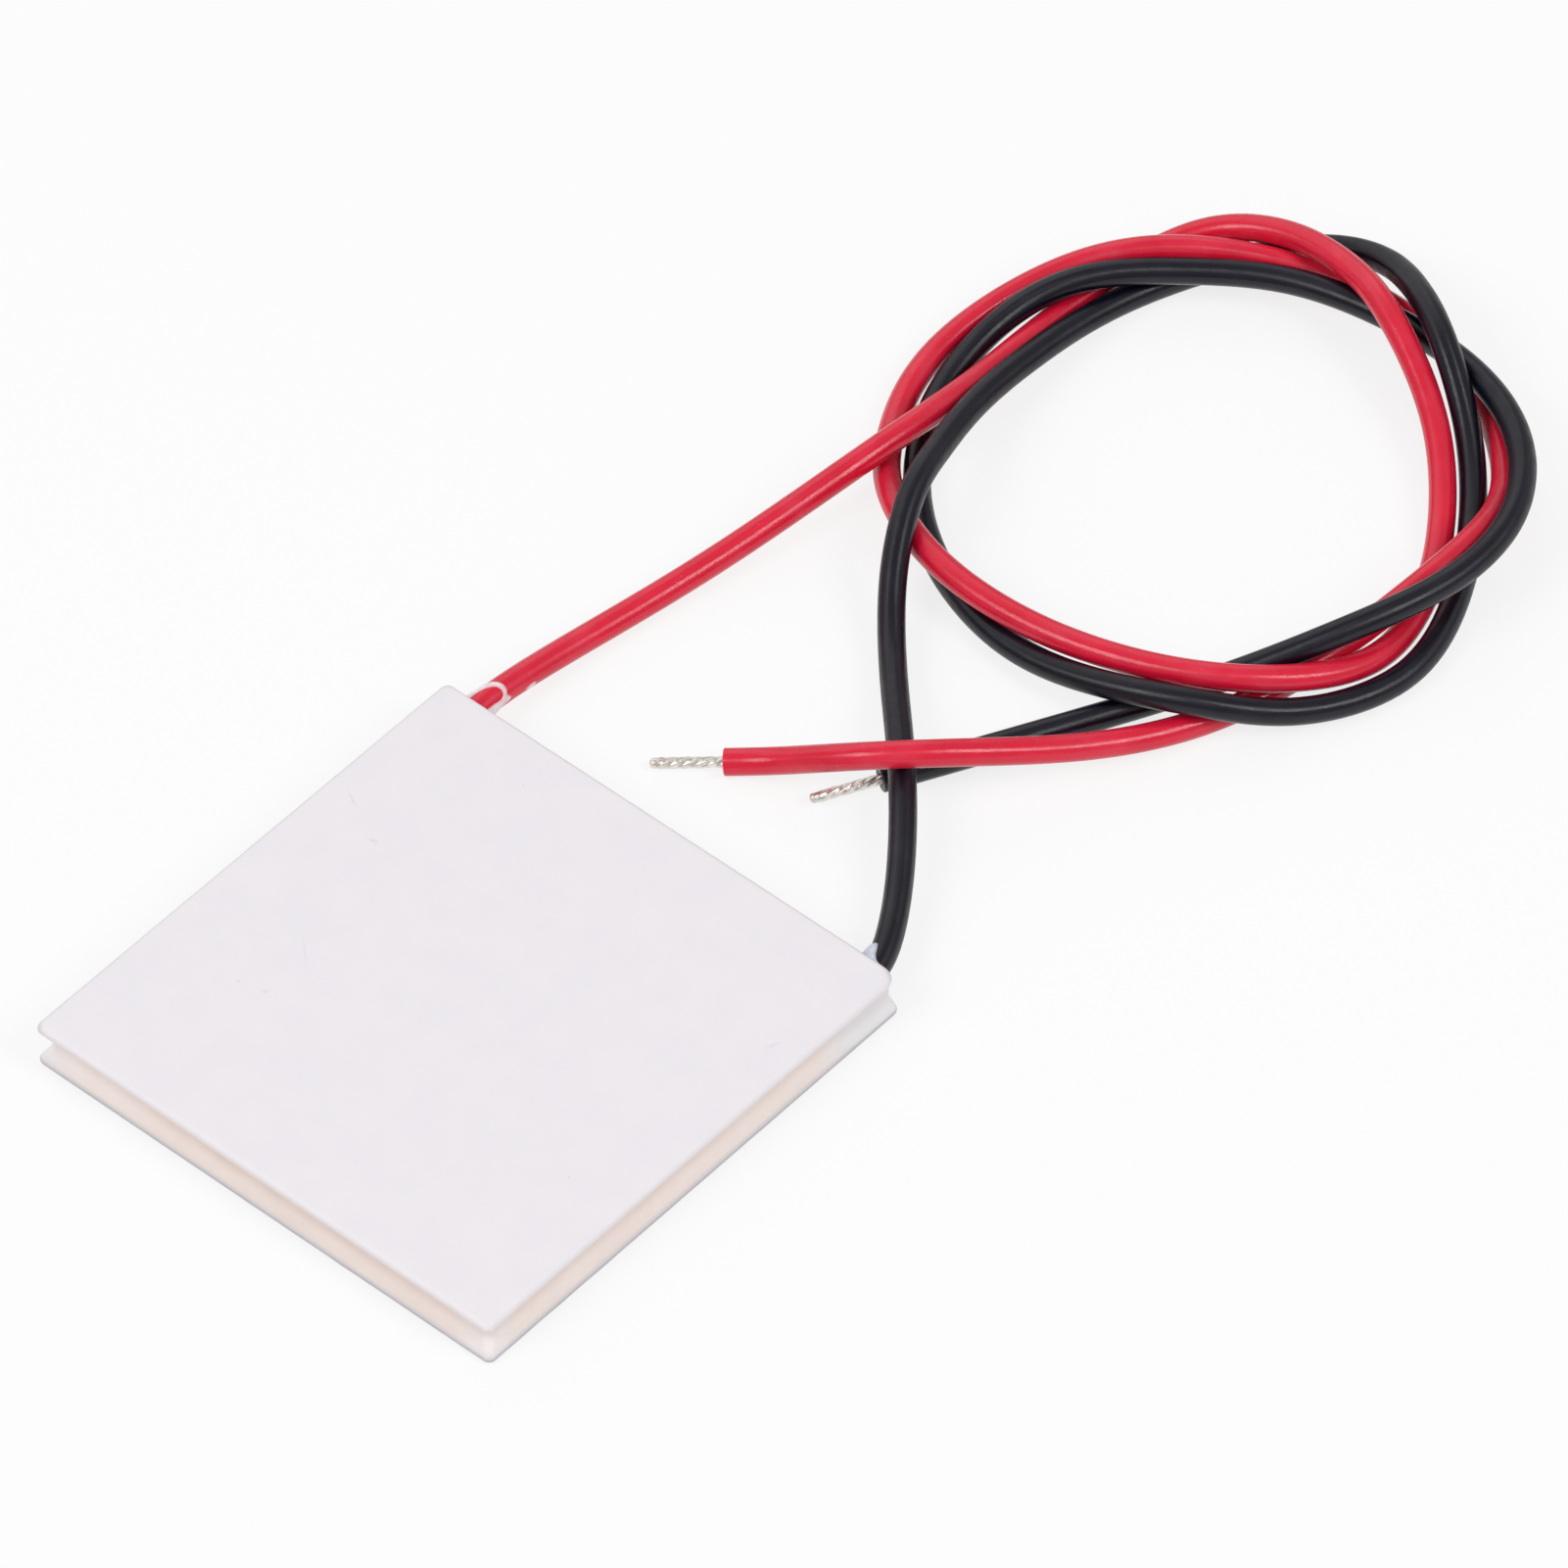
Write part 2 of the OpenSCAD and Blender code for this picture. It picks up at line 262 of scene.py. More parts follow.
blackRoute = {
    "exitX": 17.5, "straight": 1.5,
    "points": [
        (13.8, 7.3, 1.3), (9, 13, 2.3), (4.5, 17.5, 1.7), (-0.5, 22.5, 0), (-4.5, 27, 2.4), (-7, 32, 4.8),
        (-8.5, 36, 3.5), (-10.5, 42, 2.3), (-11, 49, 1.3), (-10.9, 58.2, 0), (-5, 69.8, 0), (0.7, 72, 0.7),
        (6, 69.1, 3.5), (11.2, 65.6, 5.3), (16, 63, 0.9), (20.5, 58, 0), (24.1, 52.6, 0), (27.7, 43.9, 0),
        (23.7, 35.6, 0.4), (19.5, 30.7, 3.2), (12.4, 28.3, 1.9), (4, 27.9, 0), (-6, 31.5, 0),
        (-12.1, 37.9, 0), (-15, 44.5, 0), (-15, 51.5, 1.3), (-12.3, 56.3, 2.7), (-7.9, 60.9, 2.1),
        (-2, 65.5, 2), (5.5, 67, 1.9), (13.1, 66.9, 2.2), (20.5, 63.5, 3), (25.4, 56.9, 3.7),
        (25.9, 49.4, 3.9), (23.5, 41.9, 4.2), (18, 35.6, 0.5), (12.5, 26, 0), (6, 14, 0),
    ],
}


def leadLine(route):
    # the smooth curve that the route's points pull on
    points = [Vector((route["exitX"], leads["startY"], leads["exitZ"])),
              Vector((route["exitX"], leads["edgeY"] + route["straight"], leads["exitZ"]))]
    points += [Vector((x, y + leads["edgeY"], z + leads["diameter"] / 2)) for x, y, z in route["points"]]
    pull = [2 * points[0] - points[1], *points, 2 * points[-1] - points[-2]]
    line = []
    for i in range(len(points) - 1):
        a, b, c, d = pull[i:i + 4]
        for k in range(leads["steps"]):
            u = k / leads["steps"]
            line.append(((1 - u) ** 3 * a + (3 * u ** 3 - 6 * u ** 2 + 4) * b
                         + (3 * u + 3 * u ** 2 - 3 * u ** 3 + 1) * c + u ** 3 * d) / 6)
    return line + [points[-1].copy()]


def headings(line):
    ways = [line[1] - line[0]] + [b - a for a, b in zip(line, line[2:])] + [line[-1] - line[-2]]
    return [w.normalized() for w in ways]


def makeLead(name, line):
    ways = headings(line)
    radius, bevel, sides = leads["diameter"] / 2, leads["endRound"], leads["sides"]
    stops = [(p, w, radius) for p, w in zip(line[:-1], ways)]
    tip, away = line[-1], ways[-1]
    # the cut end turns in over a small round and closes on the core
    for k in range(leads["endSteps"] + 1):
        t = math.pi / 2 * k / leads["endSteps"]
        stops.append((tip - away * bevel * (1 - math.sin(t)), away, radius - bevel * (1 - math.cos(t))))
    stops.append((tip, away, leads["coreRadius"] + leads["mouthMore"]))
    stops.append((tip - away * leads["mouthDepth"], away, leads["coreRadius"]))
    # "layPlace" is the place on the lead laid straight, in metres, and "wayAlong" its direction
    points, layPlace, wayAlong, along = [], [], [], 0.0
    side = Vector((0, 0, 1)).cross(ways[0]).normalized()
    for i, (middle, way, r) in enumerate(stops):
        side = (side - way * side.dot(way)).normalized()  # carried on without a twist
        up = way.cross(side)
        along += (middle - stops[i - 1][0]).length if i else 0
        for k in range(sides):
            t = 2 * math.pi * k / sides
            points.append(middle + r * (math.cos(t) * side + math.sin(t) * up))
            layPlace.append((along * mm, radius * math.cos(t) * mm, radius * math.sin(t) * mm))
            wayAlong.append(tuple(way))
    faces = closedFaces(len(stops), sides)
    return addPiece(name, points, faces, {"layPlace": layPlace, "wayAlong": wayAlong})


redLine, blackLine = leadLine(redRoute), leadLine(blackRoute)
redLead, blackLead = makeLead("redLead", redLine), makeLead("blackLead", blackLine)
ownPiece(redLead, "red_insulation", "red_lead")
ownPiece(blackLead, "black_insulation", "black_lead")
print("leads made")


# strands twisted together, soaked in tin that rounds them over at the tip
tinnedEnd = {
    "length": 5.0,          # mm past the insulation
    "inside": 0.6,          # and back inside it
    "strands": 6, "layRadius": 0.24, "strandRadius": 0.15,
    "turnLength": 5.0,      # mm for one turn, left-handed
    "grooveFill": 0.72,     # share of a strand's outer half that the tin fills
    "soakFrom": 3.4,        # from here to the tip the tin fills more
    "tipFill": 0.92,        # up to this share
    "tipTaper": 0.07,       # and the end grows thinner by this share
    "tipRound": 0.32,       # length of the rounded tip
    "tipRadius": 0.02,      # radius of the face that closes it
    "lumps": 0.034,         # height of the lumps in the tin
    "lumpRate": 1.7,        # lumps to a mm along the end
    "fineRate": 4.5, "fineTurn": 2, "fineShare": 0.5,  # smaller lumps on them
    "rings": 110, "sides": 96,
    "redTurn": 3.0, "blackTurn": 8.0,  # where the strands start, in radians
}


def makeTinnedEnd(name, line, startTurn):
    e = tinnedEnd
    tip, way = line[-1], headings(line)[-1]
    across = Vector((0, 0, 1)).cross(way).normalized()
    over = way.cross(across)
    points = []
    cell = 2 * math.pi / e["strands"]
    for i in range(e["rings"] + 1):
        out = mixed(-e["inside"], e["length"], i / e["rings"])
        soak = smoothStep(e["soakFrom"], e["length"], out)
        turn = -2 * math.pi * out / e["turnLength"] + startTurn
        onTip = max(0.0, (out - e["length"] + e["tipRound"]) / e["tipRound"])
        roundOff = math.sqrt(max(0.0, 1 - onTip ** 2))
        for k in range(e["sides"]):
            a = 2 * math.pi * k / e["sides"]
            off = (a - turn) % cell - cell / 2  # angle from the nearest strand's middle
            spare = e["strandRadius"] ** 2 - (e["layRadius"] * math.sin(off)) ** 2
            strand = e["layRadius"] * math.cos(off) + math.sqrt(max(spare, 0))
            filled = e["layRadius"] + e["strandRadius"] * mixed(e["grooveFill"], e["tipFill"], soak)
            lump = noise.noise(Vector((out * e["lumpRate"], math.cos(a) + startTurn, math.sin(a))))
            fineX, fineY = e["fineTurn"] * math.cos(a), e["fineTurn"] * math.sin(a)
            lump += e["fineShare"] * noise.noise(Vector((out * e["fineRate"], fineX, fineY + startTurn)))
            r = (max(strand, filled) + e["lumps"] * lump) * (1 - e["tipTaper"] * soak)
            r = max(r * roundOff, e["tipRadius"])
            points.append(tip + way * out + r * (math.cos(a) * across + math.sin(a) * over))
    return addPiece(name, points, closedFaces(e["rings"] + 1, e["sides"]))


redTin = makeTinnedEnd("redTinnedEnd", redLine, tinnedEnd["redTurn"])
blackTin = makeTinnedEnd("blackTinnedEnd", blackLine, tinnedEnd["blackTurn"])
ownPiece(redTin, "tinned_copper", "red_tinned_end")
ownPiece(blackTin, "tinned_copper", "black_tinned_end")
print("tinned ends made")


# white silicone that was smeared over each lead where it leaves the seal
smear = {
    "from": -0.4,          # mm along the lead from the plates' edge; below 0 is inside the groove
    "step": 0.045, "turnStep": 2.4,  # mm along the lead, degrees round it
    "spotTo": 6.0,         # where the stretch with a spot ends
    "inner": 0.1,          # how far the skin reaches into the lead
    "wall": 0.06,          # and its underside further still
    "keepFrom": -0.04,     # faces that lie deeper than this are left out
    "edgeSlant": 0.75,     # distance to its edge, as a share of the distance along the lead
    "edgeRise": 0.22,      # width of its rounded edge
    "gapRoom": 0.17,       # most it may stand up between the plates
    "gapTo": 0.15,         # which they hold it to, as far as here
    "lumpRate": 1.6, "lumpShare": 0.5,
    "windowMore": 0.08,    # makes up for the cut corners of the bare patch
}
# how far it reaches along the lead, for each angle round it: 0 is -X, 90 is up, 180 is +X
redSmear = {
    "name": "redExitSeal", "to": 3.4, "thick": 0.1, "root": 0.1, "rootReach": 1.4,
    "reach": [(-20, 1.0), (34, 0.96), (46, 2.1), (55, 2.45), (81, 2.71), (105, 2.87), (134, 2.87),
              (155, 2.76), (177, 3.03), (189, 2.3), (210, 1.66), (240, 1.3), (280, 1.2), (340, 1.0)],
    # outlines of a bare patch and of a spot apart, by distance along the lead and angle
    "window": [(0.25, 69), (0.73, 66), (1.5, 73), (2.15, 93), (2.37, 112), (2.42, 136), (2.15, 152),
               (1.45, 148), (0.91, 149), (0.25, 145)],
    "spot": [(4.35, 192), (4.55, 181), (4.95, 175), (5.35, 177), (5.45, 188), (5.1, 201), (4.7, 205)],
}
blackSmear = {
    "name": "blackExitSeal", "to": 2.6, "thick": 0.14, "root": 0.24, "rootReach": 2.4,
    "reach": [(-60, 0.6), (-30, 1.5), (0, 2.1), (16, 2.2), (45, 2.15), (68, 1.95), (80, 1.1), (98, 0.6),
              (120, 0.45), (180, 0.4), (260, 0.42), (300, 0.6)],
    "window": None, "spot": None,
}


def outside(point, outline):
    # distance to a closed outline, below 0 inside it
    x, y = point
    best, inside = 1e9, False
    for (ax, ay), (bx, by) in zip(outline, outline[1:] + outline[:1]):
        dx, dy = bx - ax, by - ay
        t = min(1.0, max(0.0, ((x - ax) * dx + (y - ay) * dy) / (dx * dx + dy * dy)))
        best = min(best, math.hypot(x - ax - t * dx, y - ay - t * dy))
        if (ay > y) != (by > y) and x < ax + (y - ay) * dx / dy:
            inside = not inside
    return -best if inside else best


def softened(outline):
    # a closed outline whose corners were cut off twice
    for cut in range(2):
        sides = zip(outline, outline[1:] + outline[:1])
        outline = [tuple(mixed(p, q, share) for p, q in zip(a, b))
                   for a, b in sides for share in (0.25, 0.75)]
    return outline


def makeSmear(line, s):
    ways = headings(line)
    radius = leads["diameter"] / 2
    arc = radius * math.pi / 180
    along, total = [], 0.0
    for i, p in enumerate(line):
        total += (p - line[i - 1]).length if i else 0
        along.append(total)
    start = next(a + (leads["edgeY"] - p.y) for a, p, after in zip(along, line, line[1:])
                 if after.y > leads["edgeY"])

    def onLead(far, angle, height):
        target = start + far
        i = next(k for k, a in enumerate(along) if along[k + 1] > target)
        u = (target - along[i]) / (along[i + 1] - along[i])
        middle, way = line[i].lerp(line[i + 1], u), ways[i].lerp(ways[i + 1], u).normalized()
        side = Vector((0, 0, 1)).cross(way).normalized()
        up = way.cross(side)
        t = math.radians(angle)
        return middle + (radius + height) * (math.cos(t) * side + math.sin(t) * up)

    def reachAt(angle):
        # a smooth curve through the points round the lead
        turns = s["reach"]
        angle = (angle - turns[0][0]) % 360 + turns[0][0]
        i = max(k for k, (a, far) in enumerate(turns) if a <= angle)
        u = (angle - turns[i][0]) / (turns[i + 1][0] - turns[i][0])
        a, b, c, d = (turns[k % len(turns)][1] for k in range(i - 1, i + 3))
        return b + u / 2 * (c - a + u * (2 * a - 5 * b + 4 * c - d + u * (3 * (b - c) + d - a)))

    window = softened([(far, angle * arc) for far, angle in s["window"]]) if s["window"] else None
    spot = softened([(far, angle * arc) for far, angle in s["spot"]]) if s["spot"] else None

    def heightAt(far, angle):
        edge = smear["edgeSlant"] * (reachAt(angle) - far)
        if window:
            edge = min(edge, outside((far, angle * arc), window) - smear["windowMore"])
        if spot:
            edge = max(edge, -outside((far, angle * arc), spot))
        if edge <= 0:
            return max(edge, -smear["inner"])
        lump = noise.noise(Vector((far * smear["lumpRate"], angle * arc * smear["lumpRate"], s["to"])))
        full = s["thick"] * (1 + smear["lumpShare"] * lump) + s["root"] * smoothStep(s["rootReach"], 0, far)
        if far < smear["gapTo"]:
            full = min(full, smear["gapRoom"])
        return full * smoothStep(0, smear["edgeRise"], edge)

    end = smear["spotTo"] if spot else s["to"]
    rows = int((end - smear["from"]) / smear["step"]) + 1
    columns = int(360 / smear["turnStep"])
    heights = [[heightAt(smear["from"] + i * smear["step"], k * smear["turnStep"]) for k in range(columns)]
               for i in range(rows)]
    kept = [(i, k) for i in range(rows - 1) for k in range(columns)
            if max(heights[i][k], heights[i + 1][k], heights[i][k - columns + 1],
                   heights[i + 1][k - columns + 1]) > smear["keepFrom"]]
    points, film, numbers, faces = [], [], {}, []

    def corner(i, k, layer):
        k %= columns
        if (i, k, layer) not in numbers:
            numbers[i, k, layer] = len(points)
            height = heights[i][k] if layer == "top" else -smear["inner"] - smear["wall"]
            points.append(onLead(smear["from"] + i * smear["step"], k * smear["turnStep"], height))
            film.append(max(0.0, heights[i][k]))
        return numbers[i, k, layer]

    rims = {}
    for i, k in kept:
        loop = [(i, k), (i, k + 1), (i + 1, k + 1), (i + 1, k)]
        faces.append(tuple(corner(*c, "top") for c in loop))
        faces.append(tuple(corner(*c, "under") for c in reversed(loop)))
        for a, b in zip(loop, loop[1:] + loop[:1]):
            a, b = (a[0], a[1] % columns), (b[0], b[1] % columns)
            if (b, a) in rims:
                del rims[b, a]
            else:
                rims[a, b] = True
    for a, b in rims:  # walls that close the skin's edge inside the lead
        faces.append((corner(*b, "top"), corner(*a, "top"), corner(*a, "under"), corner(*b, "under")))
    return addPiece(s["name"], points, faces, {"film": film})


redExit, blackExit = makeSmear(redLine, redSmear), makeSmear(blackLine, blackSmear)
ownPiece(redExit, "exit_silicone", "red_exit_seal")
ownPiece(blackExit, "exit_silicone", "black_exit_seal")
print("exit silicone made")


# ceramic plates, with soft edges that were worn by handling
plates = {
    "width": 40.0, "thick": 0.8, "upperZ": 3.0,
    "cornerRadius": 0.5, "wornRadius": 1.2,  # the worn corner is beside the black lead
    "edgeRound": 0.36, "edgeUneven": 0.12, "wornMore": 0.5, "flatInset": 0.8,
    "unevenRate": 0.5, "topSeed": 7,  # how the unevenness changes along an edge, and from low to high
    "wornReach": (4, 1),     # mm from the worn corner, where its wear starts and where it is full
    "mostRound": 0.48,       # share of the thickness that a rounding may take
    "flatRadius": 0.4,       # least radius at the corners of the flat part
    "cornerEase": 0.7,       # share of a ring's inset that its corner radius grows by
    # shares of the height between which the film of silicone grows, with painted shading and warm bounce
    # light in the upper plate's, and between which the painted shadow grows: a painted dark reflection near
    # the top of the upper plate's two far edges, a painted contact shadow low on the lower plate
    "upperFilmAndShade": (0.95, 0.15), "lowerFilm": (0.35, 0.95), "lowerFilmShare": 0.6,
    "upperPaintedShade": (0.995, 0.85), "lowerPaintedShade": (1.0, 0.35), "upperPaintedShadeShare": 0.5,
    "freshLess": 0.8,        # share of the film that is missing beside newer silicone
    "paintedShadeBand": 1,           # mm from the upper plate's two far edges that get the painted dark reflection
    "sideSteps": 70, "cornerSteps": 9, "roundSteps": 6,
}
# corners where newer, whiter silicone was added: reach in mm, width of the fade, share
freshSilicone = {
    "black": (8.5, 4.0, 1.0), "red": (5.0, 3.0, 1.0), "left": (4.0, 3.5, 0.7), "front": (4.0, 3.5, 0.6),
}


def freshAt(x, y):
    half = plates["width"] / 2
    places = {"black": (half, half), "red": (-half, half), "left": (-half, -half), "front": (half, -half)}
    most = 0.0
    for corner, (reach, fade, share) in freshSilicone.items():
        away = math.hypot(x - places[corner][0], y - places[corner][1])
        most = max(most, share * smoothStep(reach, reach - fade, away))
    return most


def squareLoop(half, radii, sideSteps, cornerSteps):
    # places round a square with rounded corners, each with the way out; the first corner is +X +Y
    loop = []
    for turn in range(4):
        r = radii[turn]
        c, s = (1, 0, -1, 0)[turn], (0, 1, 0, -1)[turn]
        nextR = radii[(turn + 1) % 4]
        local = []
        for k in range(cornerSteps + 1):
            t = math.pi / 2 * k / cornerSteps
            local.append((half - r + r * math.cos(t), half - r + r * math.sin(t), math.cos(t), math.sin(t)))
        for k in range(1, sideSteps):
            local.append((mixed(half - r, nextR - half, k / sideSteps), half, 0, 1))
        loop += [(x * c - y * s, x * s + y * c, nx * c - ny * s, nx * s + ny * c) for x, y, nx, ny in local]
    return loop


def makePlate(name, low, firstRadius, seed):
    # "haze" marks the film of silicone towards the groove, which on the upper plate also holds painted
    # shading and warm bounce light; "shade" marks painted shadow: a painted dark reflection near the top of
    # the upper plate's two far edges, and a painted contact shadow low on the lower plate
    p = plates
    radii = [firstRadius] + [p["cornerRadius"]] * 3
    half = p["width"] / 2
    turns = [math.pi / 2 * k / p["roundSteps"] for k in range(p["roundSteps"] + 1)]
    # share of the rounding that each ring is set in and up, from the lower face to the upper one
    profile = [(1 - math.sin(t), 1 - math.cos(t), 0) for t in turns]
    profile += [(1 - math.cos(t), 1 - math.sin(t), 1) for t in turns]
    flat = squareLoop(half - p["flatInset"], [max(p["flatRadius"], r - p["flatInset"]) for r in radii],
                      p["sideSteps"], p["cornerSteps"])
    points = [(x, y, low) for x, y, nx, ny in flat]
    for shareIn, shareUp, top in profile:
        inset = p["edgeRound"] * shareIn
        ringRadii = [r + p["cornerEase"] * inset for r in radii]
        ring = squareLoop(half - inset, ringRadii, p["sideSteps"], p["cornerSteps"])
        for x, y, nx, ny in ring:
            place = Vector((x * p["unevenRate"], y * p["unevenRate"], seed + top * p["topSeed"]))
            wear = p["edgeUneven"] * noise.noise(place)
            if firstRadius > p["cornerRadius"]:
                wear += p["wornMore"] * smoothStep(*p["wornReach"], math.hypot(half - x, half - y))
            more = min(p["edgeRound"] * wear, p["thick"] * p["mostRound"] - p["edgeRound"])
            up = (p["edgeRound"] + more) * shareUp
            points.append((x - nx * more * shareIn, y - ny * more * shareIn,
                           low + (p["thick"] - up if top else up)))
    points += [(x, y, low + p["thick"]) for x, y, nx, ny in flat]
    haze, paintedShade, band = [], [], p["paintedShadeBand"]
    for x, y, z in points:
        rise = (z - low) / p["thick"]
        if low:
            # darker and warmer towards the groove: silicone film with painted shading and warm bounce light
            film = smoothStep(*p["upperFilmAndShade"], rise)
            # painted dark reflection near the top of the two far edges
            farEdge = max(smoothStep(band - half, -half, x), smoothStep(half - band, half, y))
            paintedShadeShare = p["upperPaintedShadeShare"] * farEdge * smoothStep(*p["upperPaintedShade"], rise)
        else:
            film = p["lowerFilmShare"] * smoothStep(*p["lowerFilm"], rise)
            # painted contact shadow, darker towards the bottom of the lower plate
            paintedShadeShare = smoothStep(*p["lowerPaintedShade"], rise)
        haze.append(film * (1 - p["freshLess"] * freshAt(x, y)))
        paintedShade.append(paintedShadeShare)
    faces = closedFaces(len(profile) + 2, len(flat))
    plate = addPiece(name, points, faces, {"haze": haze, "paintedShade": paintedShade})
    mergeClose(plate)
    return plate


lowerPlate = makePlate("lowerPlate", 0.0, plates["cornerRadius"], seed=2.0)
upperPlate = makePlate("upperPlate", plates["upperZ"], plates["wornRadius"], seed=5.0)
ownPiece(lowerPlate, "ceramic", "lower_plate")
ownPiece(upperPlate, "ceramic", "upper_plate")
print("plates made")


# bead of silicone round the edge, drawn in between the plates as a cove, and filled up at one corner
seal = {
    "recess": 0.52, "uneven": 0.05,
    "waveRate": 0.35, "waveSeed": 4.0, "fineShare": 0.5, "fineRise": 2,  # long and short waves
    "lip": 0.1,                 # how far in it starts on the lower plate
    "coveTop": 0.75,            # share of the height at which it stops going in
    "coveCurve": 4,             # the higher, the sooner it goes in
    "topTurn": 0.12,            # how far it comes out again under the upper plate
    "topFrom": 0.8,             # share of the height at which that starts
    "sink": 0.015,              # how far it goes into the plates
    "inner": 18.8, "innerRadius": 0.3,
    "loopRadius": (0.6, 1.5),   # at the corners, low and high
    "fillRecess": (0.03, 0.14),  # at the corner beside the black lead, low and high
    "fillRadius": (0.6, 1.4),
    "flareTop": 0.4,            # share of the height at which the corners stop narrowing
    "fillFrom": 15.9, "fillFade": 3.2, "fillFull": 1,  # x and y of that fill, and mm before and after
    "levels": 22, "sideSteps": 110, "cornerSteps": 12,
    "sharpAngle": 50,           # degrees
    "boreRadius": 0.98, "boreSides": 40, "boreY": (18.0, 21.0),
    "dustAndShadeShare": 0.34, "paintedShadowRange": (0.2, 0.85),    # most painted shadow, and the shares of the height where it grows towards the upper plate
    "warmReach": (4, 16),       # mm from the left corner, over which it turns to peach
    "frontBand": 1.5, "sideWarm": 0.55,         # less so away from the front side
    "lowWarm": 0.25, "warmRange": (0.05, 0.9),  # and low down, so that the peach grows towards the upper plate, partly as painted shading
}


def makeSeal():
    # "fresh" marks the whiter silicone, "warm" the peach one, which grows higher up partly as painted
    # shading, and "deep" a painted shadow in the groove under the upper plate
    half, low, high = plates["width"] / 2, plates["thick"], plates["upperZ"]
    points, fresh, warm, deep = [], [], [], []
    bevel = plates["edgeRound"]
    fillRange = (seal["fillFrom"] - seal["fillFade"], seal["fillFrom"] + seal["fillFull"])
    for level in range(seal["levels"] + 1):
        u = 0.5 - 0.5 * math.cos(math.pi * level / seal["levels"])  # closer rings near the plates
        cove = 1 - (1 - min(1, u / seal["coveTop"])) ** seal["coveCurve"]
        flare = smoothStep(0, seal["flareTop"], u)
        radii = [mixed(*seal["fillRadius"], flare)] + [mixed(*seal["loopRadius"], flare)] * 3
        loop = squareLoop(half, radii, seal["sideSteps"], seal["cornerSteps"])
        for x, y, nx, ny in loop:
            atCorner = min(smoothStep(*fillRange, x), smoothStep(*fillRange, y))
            wave = noise.noise(Vector((x * seal["waveRate"], y * seal["waveRate"], seal["waveSeed"])))
            wave += seal["fineShare"] * noise.noise(Vector((x, y, u * seal["fineRise"])))
            drawn = mixed(seal["lip"], seal["recess"], cove) + seal["uneven"] * wave * cove
            drawn -= seal["topTurn"] * smoothStep(seal["topFrom"], 1, u) ** 2
            recess = mixed(drawn, mixed(*seal["fillRecess"], flare), atCorner)
            # follow the plates' rounded edges, and go a hair into them
            dip = bevel - math.sqrt(max(0.0, bevel ** 2 - max(0.0, bevel - recess) ** 2)) + seal["sink"]
            points.append((x - nx * recess, y - ny * recess, mixed(low - dip, high + dip, u)))
            fresh.append(freshAt(x, y))
            # painted shadow under the upper plate, growing with height
            deep.append(seal["dustAndShadeShare"] * smoothStep(*seal["paintedShadowRange"], u))
            bySide = 1 if y < -half + seal["frontBand"] else seal["sideWarm"]
            # peach silicone, stronger higher up in the groove as painted shading under the upper plate
            byHeight = mixed(seal["lowWarm"], 1, smoothStep(*seal["warmRange"], u))
            warm.append(smoothStep(*seal["warmReach"], math.hypot(half + x, half + y)) * bySide * byHeight)
    count = len(loop)
    inner = squareLoop(seal["inner"], [seal["innerRadius"]] * 4, seal["sideSteps"], seal["cornerSteps"])
    for z in (high, low):
        points += [(x, y, z) for x, y, nx, ny in inner]
        for mark in (fresh, warm, deep):
            mark += [0.0] * count
    rings = seal["levels"] + 3
    faces = ringFaces(rings, count)
    last = (rings - 1) * count
    faces += [(last + k, last + (k + 1) % count, (k + 1) % count, k) for k in range(count)]
    bead = addPiece("edgeSeal", points, faces, {"fresh": fresh, "warm": warm, "deep": deep})
    bead.data.set_sharp_from_angle(angle=math.radians(seal["sharpAngle"]))
    return bead


def boreSeal(piece, places):
    # the leads pass through holes in the bead
    radius, sides = seal["boreRadius"], seal["boreSides"]
    turns = [2 * math.pi * k / sides for k in range(sides)]
    for x in places:
        points = [(x + radius * math.sin(t), y, leads["exitZ"] + radius * math.cos(t))
                  for y in seal["boreY"] for t in turns]
        drill = addPiece("drill", points, closedFaces(2, sides))
        cut = piece.modifiers.new("bore", "BOOLEAN")
        cut.operation, cut.solver, cut.object = "DIFFERENCE", "EXACT", drill
        shape = bpy.data.meshes.new_from_object(piece.evaluated_get(bpy.context.evaluated_depsgraph_get()))
        piece.modifiers.clear()
        old, piece.data = piece.data, shape
        bpy.data.meshes.remove(old)
        bpy.data.objects.remove(drill)


edgeSeal = makeSeal()
boreSeal(edgeSeal, (redRoute["exitX"], blackRoute["exitX"]))
ownPiece(edgeSeal, "edge_silicone", "edge_seal")
print("edge seal made")


# finishes, with the sizes of their grain and the depth of their relief in mm
ceramic = {
    "cool": tone(235, 231, 236), "warm": tone(238, 233, 236), "fleck": tone(229, 227, 232),
    # the upper plate's film tone also holds painted shading and warm bounce light, and the grey tone after
    # it is that of the painted shadow
    "upperFilmAndShade": tone(229, 214, 208), "lowerFilm": tone(240, 226, 219), "paintedShade": tone(190, 186, 191),
    "markTone": tone(176, 174, 186), "roughness": (0.48, 0.62),
    "cloudSize": 3.2, "fleckSize": 0.16, "filmSize": 1.5, "glossSize": 0.8,
    "poreSize": 0.12, "waveSize": 1.1, "relief": 0.006,
    "dots": (2.4, 0.06, 0.1), "dotStrength": 0.3,  # mm apart, radius, share of places that have one
    "markDepth": 0.2, "raggedSize": 0.25,
    # faint marks: x, y, z, half length and half width in mm, angle, strength
    "upperMarks": [
        (-9.8, 16.3, 3.8, 0.09, 0.08, 0, 0.5), (-12.45, -8.55, 3.8, 0.13, 0.09, 30, 0.6),
        (-10.45, -8.05, 3.8, 0.3, 0.14, 50, 0.2), (-14.1, 6.25, 3.8, 0.45, 0.14, 10, 0.22),
        (-17.7, 8.15, 3.8, 0.75, 0.1, -27, 0.2), (-11.0, -3.7, 3.8, 1.3, 0.08, -42, 0.15),
        (17.8, 10.0, 3.8, 0.4, 0.2, 70, 0.15), (15.3, -7.0, 3.8, 0.1, 0.1, 0, 0.25),
    ],
    "lowerMarks": [(19.9, 11.4, 0.3, 0.16, 0.16, 0, 0.8)],
}


